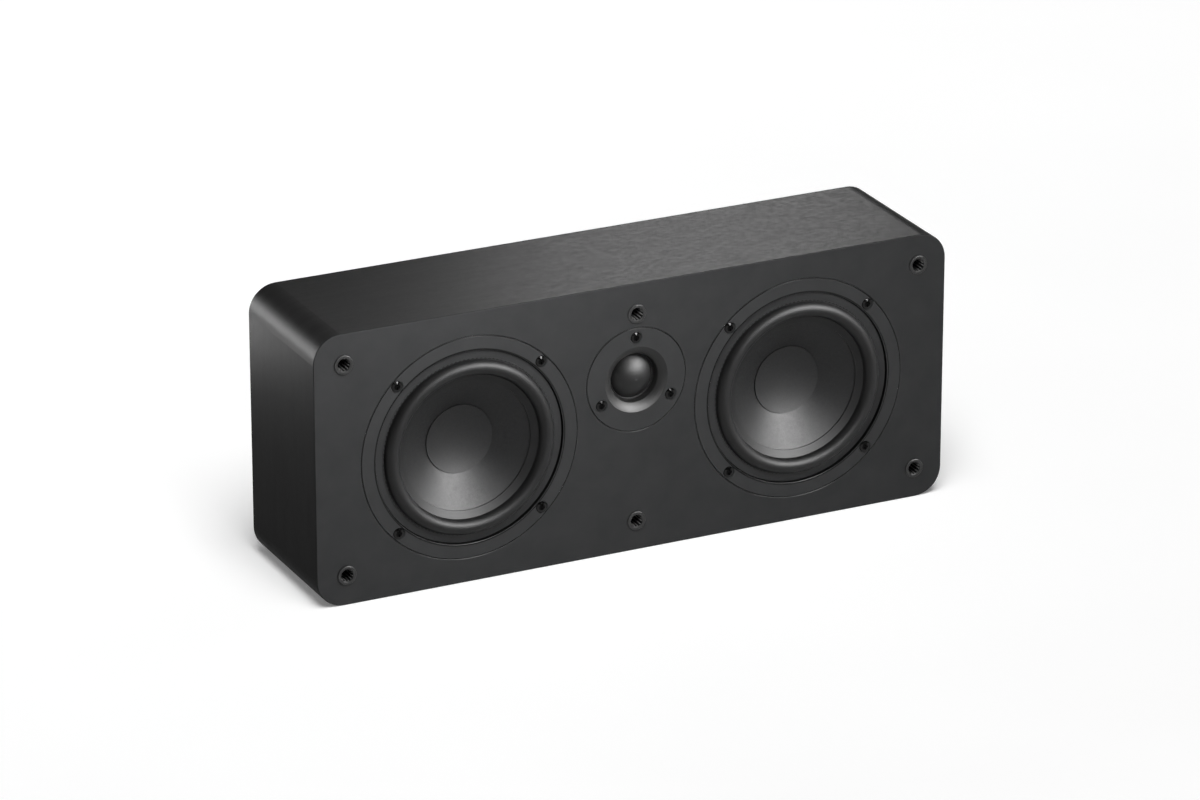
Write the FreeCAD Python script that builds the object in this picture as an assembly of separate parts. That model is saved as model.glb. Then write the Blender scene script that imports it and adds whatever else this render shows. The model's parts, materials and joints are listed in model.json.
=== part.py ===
import FreeCAD, Part
import math
import os

from FreeCAD import Vector

# Wall speaker, in millimetres: X to the right, Y from front to back, Z up.
# The origin is the middle of the underside. Depths are counted back from the baffle's face.

# Cabinet
CABINET_WIDTH = 410.0
CABINET_HEIGHT = 168.0
CABINET_DEPTH = 94.0
CORNER_RADIUS = 17.0
SLEEVE_WALL = 12.0
BAFFLE_THICKNESS = 16.0
REAR_PANEL_THICKNESS = 12.0
REAR_LEDGE = 6.0
EDGE_RADIUS = 0.6
SMALLEST_CORNER = 1.0
PANEL_FIT = 0.1

# Fits shared by the pieces
GLUE_LINE = 0.1
SOFT_GLUE_LINE = 0.3
SCREW_FIT = 0.1
SCREW_CLEARANCE = 0.3

# Screws that hold the drivers
SCREW_HEAD_DIAMETER = 6.4
SCREW_HEAD_EDGE = 0.8
SCREW_HEAD_RISE = 0.7
SCREW_SEAT_DEPTH = 1.2
SCREW_SHANK_DIAMETER = 3.5
SCREW_LENGTH = 13.0
SCREW_SLOT_LENGTH = 3.8
SCREW_SLOT_WIDTH = 0.9
SCREW_SLOT_DEPTH = 1.0
COUNTERSINK_MARGIN = 0.2
COUNTERSINK_FLARE = 0.5
PILOT_TIP = 0.4

# Flanges of all three drivers
FLANGE_THICKNESS = 4.0
FLANGE_GAP = 0.35
EDGE_BREAK = 0.3
GASKET_THICKNESS = 1.0
DRIVER_GAP = 6.35
BODY_CLEARANCE = 0.6

# Woofer frame
WOOFER_FLANGE_DIAMETER = 137.5
WOOFER_STEP_DIAMETER = 120.0
WOOFER_SCREW_CIRCLE = 129.4
WOOFER_SCREW_COUNT = 4
WOOFER_SCREW_START = 45.0
BASKET_RIM_SHOULDER = 1.0
BASKET_RIM_DEPTH = 10.0
BASKET_DEPTH = 36.0
BASKET_NECK_DIAMETER = 78.0
BASKET_WALL = 2.4
BASKET_LEG_SHIFT = 1.0
BASKET_PLATFORM = 2.0
BASKET_PLATFORM_HOLE = 44.0
BASKET_WINDOW_COUNT = 6
BASKET_LEG_ANGLE = 20.0
BASKET_WINDOW_MARGIN = 1.0
LIP_LEDGE_WIDTH = 5.0
LIP_LEDGE_THICKNESS = 2.2
SPIDER_SEAT_DEPTH = 30.5
SPIDER_SEAT_WIDTH = 3.8

# Woofer surround, cone and dust cap
LIP_RECESS = 1.6
LIP_THICKNESS = 1.2
LIP_GROOVE = 0.6
ROLL_FOOT_WIDTH = 0.9
ROLL_FOOT_RISE = 0.4
ROLL_OUTER_DIAMETER = 108.2
ROLL_INNER_DIAMETER = 89.3
ROLL_THICKNESS = 0.8
INNER_LIP_WIDTH = 4.2
INNER_LIP_THICKNESS = 0.6
CONE_ANGLE = 29.5
CONE_THICKNESS = 0.8
CONE_EDGE_MARGIN = 0.25
DUST_CAP_DIAMETER = 42.2
DUST_CAP_SAG = 3.4
DUST_CAP_THICKNESS = 0.6

# Woofer motor
COIL_BORE = 25.0
FORMER_THICKNESS = 0.4
WINDING_THICKNESS = 0.6
WINDING_HEIGHT = 12.0
COIL_CLEARANCE = 0.45
TOP_PLATE_DIAMETER = 72.0
TOP_PLATE_THICKNESS = 5.0
MAGNET_DIAMETER = 72.0
MAGNET_BORE = 36.0
MAGNET_HEIGHT = 15.0
YOKE_DIAMETER = 68.0
YOKE_THICKNESS = 5.0
POLE_VENT_DIAMETER = 8.0
SPIDER_THICKNESS = 0.6
SPIDER_WAVE_HEIGHT = 1.2
SPIDER_WAVE_COUNT = 6
SPIDER_FLAT = 1.5

# Woofer terminals
STRIP_WIDTH = 26.0
STRIP_LENGTH = 9.0
STRIP_THICKNESS = 1.6
STRIP_PAD_HEIGHT = 2.0
STRIP_PAD_LENGTH = 6.5
TAG_SPACING = 12.0
TAG_LENGTH = 7.0
TAG_WIDTH = 3.0
TAG_THICKNESS = 0.8
TINSEL_DIAMETER = 1.0
TINSEL_BEND = 3.0
TINSEL_RISE = 5.0
TINSEL_STAND = 6.0
TINSEL_RADIUS_ON_CONE = 30.0

# Tweeter
TWEETER_DROP = 60.0
TWEETER_FLANGE_DIAMETER = 64.2
TWEETER_SCREW_CIRCLE = 52.0
TWEETER_SCREW_COUNT = 3
TWEETER_SCREW_START = 90.0
TWEETER_BODY_DIAMETER = 45.0
TWEETER_BODY_DEPTH = 9.5
MOUTH_DIAMETER = 40.8
MOUTH_CURVE = 13.0
MOUTH_EDGE_ANGLE = 18.0
MOUTH_ANGLE = 44.0
THROAT_ANGLE = 72.0
THROAT_DIAMETER = 28.8
THROAT_LAND = 0.7
DOME_DIAMETER = 27.0
DOME_HEIGHT = 6.4
DOME_THICKNESS = 0.4
DOME_ROLL_CLEARANCE = 0.2
DOME_ROLL_HEIGHT = 0.3
DOME_RING_DIAMETER = 37.6
TWEETER_FORMER_THICKNESS = 0.3
TWEETER_FORMER_LENGTH = 5.2
TWEETER_WINDING_THICKNESS = 0.35
TWEETER_WINDING_HEIGHT = 2.6
TWEETER_COIL_CLEARANCE = 0.4
POLE_PLATE_THICKNESS = 3.5
TWEETER_MAGNET_DIAMETER = 22.0
TWEETER_MAGNET_HEIGHT = 8.0
POT_DIAMETER = 43.0
POT_BOTTOM = 3.0
POT_POCKET_MARGIN = 1.6
TERMINAL_BOARD_WIDTH = 22.0
TERMINAL_BOARD_HEIGHT = 10.0

# Grille sockets
SOCKET_SIDE_INSET = 18.6
SOCKET_END_INSET = 18.75
SOCKET_RING_DIAMETER = 11.7
SOCKET_RING_HEIGHT = 1.0
SOCKET_RING_EDGE = 0.5
SOCKET_LEAD_IN = 0.4
SOCKET_BODY_DIAMETER = 9.8
SOCKET_BORE = 7.6
SOCKET_BORE_DEPTH = 10.0
SOCKET_BOTTOM = 1.5

# Terminal cup on the back
CUP_WIDTH = 62.0
CUP_HEIGHT = 42.0
CUP_RECESS = 22.0
CUP_WALL = 2.5
CUP_FLANGE_MARGIN = 7.0
CUP_CORNER = 6.0
CUP_FIT = 0.4
CUP_MIDDLE_HEIGHT = 44.0
CUP_SCREW_INSET = 4.5

# Binding posts
POST_SPACING = 19.0
POST_DIAMETER = 6.0
POST_BORE = 4.0
POST_BORE_DEPTH = 12.0
POST_INSET = 3.0
POST_TAIL = 12.0
POST_COLLAR_DIAMETER = 11.0
POST_COLLAR_HEIGHT = 2.0
POST_CROSS_HOLE = 2.4
CAP_DIAMETER = 12.0
CAP_GAP = 0.3
CAP_FLUTE_COUNT = 12
CAP_FLUTE_DIAMETER = 2.0
NUT_SIDES = 6
NUT_ACROSS_FLATS = 10.0
NUT_HEIGHT = 5.0

# Small flat-head screws on the back
FLAT_HEAD_DIAMETER = 6.2
FLAT_SHANK_DIAMETER = 3.0
FLAT_SCREW_LENGTH = 9.0
FLAT_HEAD_DEPTH = 1.5

# Keyhole hangers and bumpers
HANGER_SIDE_INSET = 55.0
HANGER_TOP_INSET = 30.0
HANGER_WIDTH = 44.0
HANGER_HEIGHT = 28.0
HANGER_THICKNESS = 1.5
HANGER_CORNER = 3.0
HANGER_FIT = 0.2
HANGER_SCREW_SPACING = 32.0
KEYHOLE_DIAMETER = 10.0
KEYHOLE_SLOT = 5.0
KEYHOLE_RISE = 11.0
KEYHOLE_POCKET_DEPTH = 7.0
KEYHOLE_POCKET_MARGIN = 2.0
BUMPER_DIAMETER = 12.0
BUMPER_HEIGHT = 2.5
BUMPER_SIDE_INSET = 20.0
BUMPER_END_INSET = 18.0
BUMPER_EDGE = 0.8

# Crossover
BOARD_WIDTH = 96.0
BOARD_HEIGHT = 66.0
BOARD_THICKNESS = 1.6
BOARD_ABOVE_CUP = 9.0
BOARD_HOLE_INSET = 4.0
STANDOFF_HEIGHT = 6.0
STANDOFF_DIAMETER = 6.0
STANDOFF_PIN_DIAMETER = 3.0
STANDOFF_PIN_LENGTH = 5.0
STANDOFF_TIP = 1.5
INDUCTOR_DIAMETER = 34.0
INDUCTOR_BORE = 14.0
INDUCTOR_HEIGHT = 14.0
INDUCTOR_EDGE = 1.5
CAPACITOR_DIAMETER = 16.0
CAPACITOR_LENGTH = 34.0
RESISTOR_LENGTH = 24.0
RESISTOR_SIDE = 9.0
PART_SPACING = 6.0

# Inner leads and wadding
LEAD_DIAMETER = 2.4
LEAD_BEND = 8.0
WOOFER_LEAD_INSET = 10.0
TWEETER_LEAD_DROP = 16.0
TWEETER_LEAD_RUN = 13.0
INPUT_LEAD_RUN = 10.0
INPUT_LEAD_INSET = 8.0
WADDING_WIDTH = 100.0
WADDING_HEIGHT = 96.0
WADDING_THICKNESS = 10.0
WADDING_CORNER = 10.0

# Places worked out from the sizes above
ORIGIN = Vector(0, 0, 0)
X_AXIS = Vector(1, 0, 0)
Y_AXIS = Vector(0, 1, 0)
Z_AXIS = Vector(0, 0, 1)
FRONT = -CABINET_DEPTH / 2
REAR = CABINET_DEPTH / 2
MID_HEIGHT = CABINET_HEIGHT / 2
PANEL_FRONT = REAR - REAR_PANEL_THICKNESS
WOOFER_X = TWEETER_FLANGE_DIAMETER / 2 + DRIVER_GAP + WOOFER_FLANGE_DIAMETER / 2
TWEETER_X = 0.0
TWEETER_Z = CABINET_HEIGHT - TWEETER_DROP
REBATE_DEPTH = FLANGE_THICKNESS + GASKET_THICKNESS
SCREW_SHANK = SCREW_SHANK_DIAMETER / 2
SCREW_HOLE = SCREW_SHANK + SCREW_CLEARANCE
SCREW_PILOT = SCREW_SHANK + SCREW_FIT

WOOFER_FLANGE = WOOFER_FLANGE_DIAMETER / 2
BASKET_STEP = WOOFER_STEP_DIAMETER / 2
BASKET_RIM = BASKET_STEP + BASKET_RIM_SHOULDER
BASKET_NECK = BASKET_NECK_DIAMETER / 2
WOOFER_HOLE = BASKET_RIM + BODY_CLEARANCE
LIP_SEAT = LIP_RECESS + LIP_THICKNESS
LIP_LEDGE = BASKET_STEP - LIP_LEDGE_WIDTH
SPIDER_SEAT = BASKET_NECK - BASKET_WALL
ROLL_OUTER = ROLL_OUTER_DIAMETER / 2
ROLL_INNER = ROLL_INNER_DIAMETER / 2
CONE_SLOPE = math.tan(math.radians(CONE_ANGLE))
CONE_UPRIGHT = 1 / math.cos(math.radians(CONE_ANGLE))
INNER_LIP = ROLL_INNER - INNER_LIP_WIDTH
FORMER_RADIUS = COIL_BORE / 2 + FORMER_THICKNESS
WINDING_RADIUS = FORMER_RADIUS + WINDING_THICKNESS
PLATE_BACK = BASKET_DEPTH + TOP_PLATE_THICKNESS
MAGNET_BACK = PLATE_BACK + MAGNET_HEIGHT
YOKE_BACK = MAGNET_BACK + YOKE_THICKNESS
WINDING_MIDDLE = BASKET_DEPTH + TOP_PLATE_THICKNESS / 2
STRIP_FACE = BASKET_NECK + STRIP_PAD_HEIGHT
TAG_END = STRIP_FACE + STRIP_THICKNESS + TAG_LENGTH
TAG_DEPTH = BASKET_DEPTH - STRIP_PAD_LENGTH / 2

TWEETER_FLANGE = TWEETER_FLANGE_DIAMETER / 2
TWEETER_BODY = TWEETER_BODY_DIAMETER / 2
TWEETER_HOLE = TWEETER_BODY + BODY_CLEARANCE
MOUTH = MOUTH_DIAMETER / 2
THROAT = THROAT_DIAMETER / 2
DOME = DOME_DIAMETER / 2
DOME_RING = DOME_RING_DIAMETER / 2
POT_BACK = TWEETER_BODY_DEPTH + POLE_PLATE_THICKNESS + TWEETER_MAGNET_HEIGHT + POT_BOTTOM
TERMINAL_BACK = POT_BACK + STRIP_THICKNESS

CUP_FLOOR = REAR - CUP_RECESS
CUP_FRONT = CUP_FLOOR - CUP_WALL
POST_END = REAR - POST_INSET
POST_TIP = CUP_FRONT - POST_TAIL
BOARD_BACK = PANEL_FRONT - STANDOFF_HEIGHT
BOARD_FRONT = BOARD_BACK - BOARD_THICKNESS
BOARD_BOTTOM = CUP_MIDDLE_HEIGHT + CUP_HEIGHT / 2 + BOARD_ABOVE_CUP
BOARD_MIDDLE = BOARD_BOTTOM + BOARD_HEIGHT / 2
INDUCTOR_X = -(PART_SPACING + INDUCTOR_DIAMETER) / 2 - PART_SPACING
INDUCTOR_Z = BOARD_BOTTOM + BOARD_HEIGHT - PART_SPACING - INDUCTOR_DIAMETER / 2
CAPACITOR_X = PART_SPACING + CAPACITOR_LENGTH / 2
CAPACITOR_Z = BOARD_BOTTOM + BOARD_HEIGHT - PART_SPACING - CAPACITOR_DIAMETER / 2
RESISTOR_X = PART_SPACING * 2 + RESISTOR_LENGTH / 2
RESISTOR_Z = CAPACITOR_Z - CAPACITOR_DIAMETER / 2 - PART_SPACING - RESISTOR_SIDE / 2


# Basic shapes
def rounded_block(width, height, corner, front, back, x=0.0, z=0.0):
    """A plate between two Y planes, centred on x and z, with round corners."""
    base = Vector(x - width / 2, front, z - height / 2)
    block = Part.makeBox(width, back - front, height, base)
    boxes = [(e, e.BoundBox) for e in block.Edges]
    along_y = [e for e, box in boxes if box.YLength > box.XLength + box.ZLength]
    return block.makeFillet(corner, along_y)


def disc(radius, front, back, x=0.0, z=0.0):
    """A cylinder between two Y planes."""
    return Part.makeCylinder(radius, back - front, Vector(x, front, z), Y_AXIS)


def taper(front_radius, back_radius, front, back, x=0.0, z=0.0):
    """A truncated cone between two Y planes."""
    return Part.makeCone(front_radius, back_radius, back - front, Vector(x, front, z), Y_AXIS)


def at(radius, depth):
    return Vector(radius, FRONT + depth, 0)


def turned(outline, angle=360.0):
    """Turn an outline about the Y axis. A step is (radius, depth), or (arc middle, arc end)."""
    edges = []
    here = at(*outline[-1][-2:])
    for step in outline:
        there = at(*step[-2:])
        if len(step) == 4:
            edges.append(Part.Arc(here, at(*step[:2]), there).toShape())
        else:
            edges.append(Part.LineSegment(here, there).toShape())
        here = there
    return Part.Face(Part.Wire(edges)).revolve(ORIGIN, Y_AXIS, angle)


def ring(inner, outer, front, back):
    """A flat ring between two depths."""
    return turned([(inner, front), (outer, front), (outer, back), (inner, back)])


def tube(points, bend, diameter):
    """A round wire along straight runs with tangent bends."""
    edges = []
    here = points[0]
    for before, corner, after in zip(points, points[1:], points[2:]):
        into = (corner - before).normalize()
        out = (after - corner).normalize()
        half_turn = into.getAngle(out) / 2
        reach = bend * math.tan(half_turn)
        inward = (out - into).normalize()
        start = corner - into * reach
        middle = corner + inward * (bend / math.cos(half_turn) - bend)
        end = corner + out * reach
        edges.append(Part.LineSegment(here, start).toShape())
        edges.append(Part.Arc(start, middle, end).toShape())
        here = end
    edges.append(Part.LineSegment(here, points[-1]).toShape())
    section = Part.makeCircle(diameter / 2, points[0], points[1] - points[0])
    return Part.Wire(edges).makePipeShell([Part.Wire(section)], True, False)


def cap_rise(rim, height, radius):
    """How far a spherical cap stands above its rim, at a given radius."""
    sphere = (rim * rim + height * height) / (2 * height)
    return math.sqrt(sphere * sphere - radius * radius) - sphere + height


def around(circle, count, first_angle):
    """Places (x, z) spread evenly on a circle of the given diameter."""
    for step in range(count):
        turn = math.radians(first_angle + 360.0 * step / count)
        yield circle / 2 * math.cos(turn), circle / 2 * math.sin(turn)


def moved(shape, x=0.0, z=0.0, half_turn=False):
    """A copy set on a driver's axis, turned upside down for the right-hand woofer."""
    copy = shape.copy()
    if half_turn:
        copy.rotate(ORIGIN, Y_AXIS, 180)
    copy.translate(Vector(x, 0, z))
    return copy


def save(name, shape):
    shape.exportStep(os.path.join("parts", name + ".step"))


# Fasteners
def driver_screw():
    """A low domed head with a cross recess, and a plain shank."""
    head = SCREW_HEAD_DIAMETER / 2
    shoulder = SCREW_SEAT_DEPTH - SCREW_HEAD_EDGE
    crown = shoulder - SCREW_HEAD_RISE
    shank_end = SCREW_SEAT_DEPTH + SCREW_LENGTH
    bow = shoulder - cap_rise(head, SCREW_HEAD_RISE, head / 2)
    screw = turned([
        (0, shank_end),
        (0, crown),
        (head / 2, bow, head, shoulder),
        (head, SCREW_SEAT_DEPTH),
        (SCREW_SHANK, SCREW_SEAT_DEPTH),
        (SCREW_SHANK, shank_end - SCREW_SHANK),
    ])
    top = FRONT + crown
    for width, height in ((SCREW_SLOT_LENGTH, SCREW_SLOT_WIDTH), (SCREW_SLOT_WIDTH, SCREW_SLOT_LENGTH)):
        corner = Vector(-width / 2, top, -height / 2)
        screw = screw.cut(Part.makeBox(width, SCREW_SLOT_DEPTH, height, corner))
    return screw


def screw_seat():
    """The hole and countersink in a flange that a driver screw lies in."""
    bottom = SCREW_HEAD_DIAMETER / 2 + COUNTERSINK_MARGIN
    sink = taper(bottom + COUNTERSINK_FLARE, bottom, FRONT, FRONT + SCREW_SEAT_DEPTH)
    return sink.fuse(disc(SCREW_HOLE, FRONT, FRONT + REBATE_DEPTH))


def flat_screw(gap=0.0):
    """A flat-head screw let in from the back, or with a gap, the hole that it goes through."""
    head = FLAT_HEAD_DIAMETER / 2 + gap
    shank = FLAT_SHANK_DIAMETER / 2 + gap
    screw = taper(shank, head, REAR - FLAT_HEAD_DEPTH, REAR)
    return screw.fuse(disc(shank, REAR - FLAT_SCREW_LENGTH - gap, REAR - FLAT_HEAD_DEPTH))


def woofer_screw_places():
    return list(around(WOOFER_SCREW_CIRCLE, WOOFER_SCREW_COUNT, WOOFER_SCREW_START))


def tweeter_screw_places():
    return list(around(TWEETER_SCREW_CIRCLE, TWEETER_SCREW_COUNT, TWEETER_SCREW_START))


def driver_screw_places():
    places = [(TWEETER_X + x, TWEETER_Z + z) for x, z in tweeter_screw_places()]
    for side in (-1, 1):
        places += [(side * WOOFER_X + x, MID_HEIGHT + z) for x, z in woofer_screw_places()]
    return places


# Cabinet
def socket_places():
    """Name and place of each grille socket."""
    across = CABINET_WIDTH / 2 - SOCKET_SIDE_INSET
    for row, z in (("upper", CABINET_HEIGHT - SOCKET_END_INSET), ("lower", SOCKET_END_INSET)):
        for column, x in (("left", -across), ("middle", 0.0), ("right", across)):
            yield row + "_" + column, x, z


def make_baffle():
    back = FRONT + BAFFLE_THICKNESS
    board = rounded_block(CABINET_WIDTH, CABINET_HEIGHT, CORNER_RADIUS, FRONT, back, 0, MID_HEIGHT)
    face_edges = [e for e in board.Edges if e.BoundBox.YMax < FRONT + EDGE_RADIUS]
    board = board.makeFillet(EDGE_RADIUS, face_edges)
    seats = [(side * WOOFER_X, MID_HEIGHT, WOOFER_FLANGE, WOOFER_HOLE) for side in (-1, 1)]
    seats.append((TWEETER_X, TWEETER_Z, TWEETER_FLANGE, TWEETER_HOLE))
    for x, z, flange, hole in seats:
        rebate = flange + FLANGE_GAP
        board = board.cut(disc(rebate, FRONT, FRONT + REBATE_DEPTH, x, z))
        board = board.cut(taper(rebate + EDGE_BREAK, rebate, FRONT, FRONT + EDGE_BREAK, x, z))
        board = board.cut(disc(hole, FRONT, back, x, z))
    pilot_end = FRONT + SCREW_SEAT_DEPTH + SCREW_LENGTH + PILOT_TIP
    for x, z in driver_screw_places():
        board = board.cut(disc(SCREW_PILOT, FRONT + REBATE_DEPTH, pilot_end, x, z))
    body = SOCKET_BODY_DIAMETER / 2 + GLUE_LINE
    socket_end = FRONT + SOCKET_BORE_DEPTH - SOCKET_RING_HEIGHT + SOCKET_BOTTOM + GLUE_LINE
    for name, x, z in socket_places():
        board = board.cut(disc(body, FRONT, socket_end, x, z))
    return board


def make_sleeve():
    front = FRONT + BAFFLE_THICKNESS
    shell = rounded_block(CABINET_WIDTH, CABINET_HEIGHT, CORNER_RADIUS, front, REAR, 0, MID_HEIGHT)
    for wall, start in ((SLEEVE_WALL, front), (SLEEVE_WALL - REAR_LEDGE, PANEL_FRONT)):
        corner = max(CORNER_RADIUS - wall, SMALLEST_CORNER)
        width = CABINET_WIDTH - 2 * wall
        height = CABINET_HEIGHT - 2 * wall
        shell = shell.cut(rounded_block(width, height, corner, start, REAR, 0, MID_HEIGHT))
    return shell


def hanger_places():
    across = CABINET_WIDTH / 2 - HANGER_SIDE_INSET
    return ((-across, "left"), (across, "right"))


def cup_screw_places():
    across = CUP_WIDTH / 2 + CUP_FLANGE_MARGIN - CUP_SCREW_INSET
    rise = CUP_HEIGHT / 2 + CUP_FLANGE_MARGIN - CUP_SCREW_INSET
    return [(x, CUP_MIDDLE_HEIGHT + z) for x in (-across, across) for z in (-rise, rise)]


def hanger_screw_places():
    half = HANGER_SCREW_SPACING / 2
    z = CABINET_HEIGHT - HANGER_TOP_INSET
    return [(x + offset, z) for x, name in hanger_places() for offset in (-half, half)]


def standoff_places():
    across = BOARD_WIDTH / 2 - BOARD_HOLE_INSET
    rise = BOARD_HEIGHT / 2 - BOARD_HOLE_INSET
    return [(x, BOARD_MIDDLE + z) for x in (-across, across) for z in (-rise, rise)]


def cup_flange(gap=0.0):
    width = CUP_WIDTH + 2 * CUP_FLANGE_MARGIN + 2 * gap
    height = CUP_HEIGHT + 2 * CUP_FLANGE_MARGIN + 2 * gap
    return rounded_block(width, height, CUP_CORNER + gap, REAR - CUP_WALL, REAR, 0, CUP_MIDDLE_HEIGHT)


def hanger_blank(x, gap=0.0):
    z = CABINET_HEIGHT - HANGER_TOP_INSET
    width = HANGER_WIDTH + 2 * gap
    height = HANGER_HEIGHT + 2 * gap
    return rounded_block(width, height, HANGER_CORNER, REAR - HANGER_THICKNESS, REAR, x, z)


def keyhole(x, front, back, margin=0.0):
    """A round entry with a narrower slot above it, for a screw in the wall."""
    middle = CABINET_HEIGHT - HANGER_TOP_INSET
    entry_z = middle - KEYHOLE_RISE / 2
    end_z = middle + KEYHOLE_RISE / 2
    slot = KEYHOLE_SLOT / 2 + margin
    base = Vector(x - slot, front, entry_z)
    hole = disc(KEYHOLE_DIAMETER / 2 + margin, front, back, x, entry_z)
    hole = hole.fuse(Part.makeBox(2 * slot, back - front, KEYHOLE_RISE, base))
    return hole.fuse(disc(slot, front, back, x, end_z))


def make_rear_panel():
    wall = SLEEVE_WALL - REAR_LEDGE + PANEL_FIT
    corner = max(CORNER_RADIUS - wall, SMALLEST_CORNER)
    width = CABINET_WIDTH - 2 * wall
    height = CABINET_HEIGHT - 2 * wall
    panel = rounded_block(width, height, corner, PANEL_FRONT, REAR, 0, MID_HEIGHT)
    panel = panel.cut(cup_flange(CUP_FIT))
    opening_width = CUP_WIDTH + 2 * CUP_FIT
    opening_height = CUP_HEIGHT + 2 * CUP_FIT
    panel = panel.cut(rounded_block(
        opening_width, opening_height, CUP_CORNER, PANEL_FRONT, REAR, 0, CUP_MIDDLE_HEIGHT))
    pocket_front = REAR - HANGER_THICKNESS - KEYHOLE_POCKET_DEPTH
    for x, name in hanger_places():
        panel = panel.cut(hanger_blank(x, HANGER_FIT))
        panel = panel.cut(keyhole(x, pocket_front, REAR, KEYHOLE_POCKET_MARGIN))
    for x, z in cup_screw_places() + hanger_screw_places():
        panel = panel.cut(moved(flat_screw(SCREW_FIT), x, z))
    pin = STANDOFF_PIN_DIAMETER / 2 + SCREW_FIT
    pin_end = PANEL_FRONT + STANDOFF_PIN_LENGTH + SCREW_FIT
    for x, z in standoff_places():
        panel = panel.cut(disc(pin, PANEL_FRONT, pin_end, x, z))
    return panel


def make_socket():
    """A cup with a flat ring proud of the baffle, rounded at its rim."""
    bore = SOCKET_BORE / 2
    rim = SOCKET_RING_DIAMETER / 2
    top = -SOCKET_RING_HEIGHT
    bore_end = SOCKET_BORE_DEPTH - SOCKET_RING_HEIGHT
    end = bore_end + SOCKET_BOTTOM
    body = SOCKET_BODY_DIAMETER / 2
    bow = SOCKET_RING_EDGE * (1 - math.sqrt(0.5))
    return turned([
        (0, end),
        (0, bore_end),
        (bore, bore_end),
        (bore, top + SOCKET_LEAD_IN),
        (bore + SOCKET_LEAD_IN, top),
        (rim - SOCKET_RING_EDGE, top),
        (rim - bow, top + bow, rim, top + SOCKET_RING_EDGE),
        (rim, 0),
        (body, 0),
        (body, end),
    ])


# Woofer: every piece is made on the Y axis
def cone_face(radius):
    """Depth of the cone's front face."""
    lip_depth = INNER_LIP_THICKNESS * CONE_UPRIGHT + SOFT_GLUE_LINE
    return LIP_RECESS + lip_depth + (ROLL_INNER - radius) * CONE_SLOPE


def make_basket():
    """A cast frame: stepped flange, rim, open legs, and the platform that carries the motor."""
    ledge_back = LIP_SEAT + LIP_LEDGE_THICKNESS
    leg_foot = SPIDER_SEAT_DEPTH - BASKET_LEG_SHIFT
    rim_inner = BASKET_RIM - BASKET_WALL
    platform_front = BASKET_DEPTH - BASKET_PLATFORM
    spider_shelf = SPIDER_SEAT - SPIDER_SEAT_WIDTH
    platform_hole = BASKET_PLATFORM_HOLE / 2
    frame = turned([
        (BASKET_STEP, LIP_SEAT),
        (BASKET_STEP, EDGE_BREAK),
        (BASKET_STEP + EDGE_BREAK, 0),
        (WOOFER_FLANGE - EDGE_BREAK, 0),
        (WOOFER_FLANGE, EDGE_BREAK),
        (WOOFER_FLANGE, FLANGE_THICKNESS),
        (BASKET_RIM, FLANGE_THICKNESS),
        (BASKET_RIM, BASKET_RIM_DEPTH),
        (BASKET_NECK, leg_foot),
        (BASKET_NECK, BASKET_DEPTH),
        (platform_hole, BASKET_DEPTH),
        (platform_hole, platform_front),
        (spider_shelf, platform_front),
        (spider_shelf, SPIDER_SEAT_DEPTH),
        (SPIDER_SEAT, SPIDER_SEAT_DEPTH),
        (SPIDER_SEAT, leg_foot - BASKET_LEG_SHIFT),
        (rim_inner, BASKET_RIM_DEPTH - BASKET_LEG_SHIFT),
        (rim_inner, ledge_back),
        (LIP_LEDGE, ledge_back),
        (LIP_LEDGE, LIP_SEAT),
    ])
    window_angle = 360.0 / BASKET_WINDOW_COUNT - BASKET_LEG_ANGLE
    inner = BASKET_NECK + BASKET_WINDOW_MARGIN
    outer = rim_inner - BASKET_WINDOW_MARGIN
    front = ledge_back + BASKET_WINDOW_MARGIN
    outline = [(inner, front), (outer, front), (outer, BASKET_DEPTH), (inner, BASKET_DEPTH)]
    window = turned(outline, window_angle)
    for step in range(BASKET_WINDOW_COUNT):
        turn = 360.0 * step / BASKET_WINDOW_COUNT - window_angle / 2
        cutter = window.copy()
        cutter.rotate(ORIGIN, Y_AXIS, turn)
        frame = frame.cut(cutter)
    frame = frame.fuse(strip_pad()).removeSplitter()
    for x, z in woofer_screw_places():
        frame = frame.cut(moved(screw_seat(), x, z))
    return frame


def strip_pad():
    """The flat on the basket's neck that carries the terminal strip."""
    front = FRONT + BASKET_DEPTH - STRIP_PAD_LENGTH
    block = Part.makeBox(STRIP_FACE, STRIP_PAD_LENGTH, STRIP_WIDTH, Vector(0, front, -STRIP_WIDTH / 2))
    return block.cut(disc(BASKET_NECK - BASKET_WALL / 2, front, FRONT + BASKET_DEPTH))


def make_gasket(hole, flange, screw_places):
    seal = ring(hole, flange, FLANGE_THICKNESS, REBATE_DEPTH)
    for x, z in screw_places:
        seal = seal.cut(disc(SCREW_HOLE, FRONT, FRONT + REBATE_DEPTH, x, z))
    return seal


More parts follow.
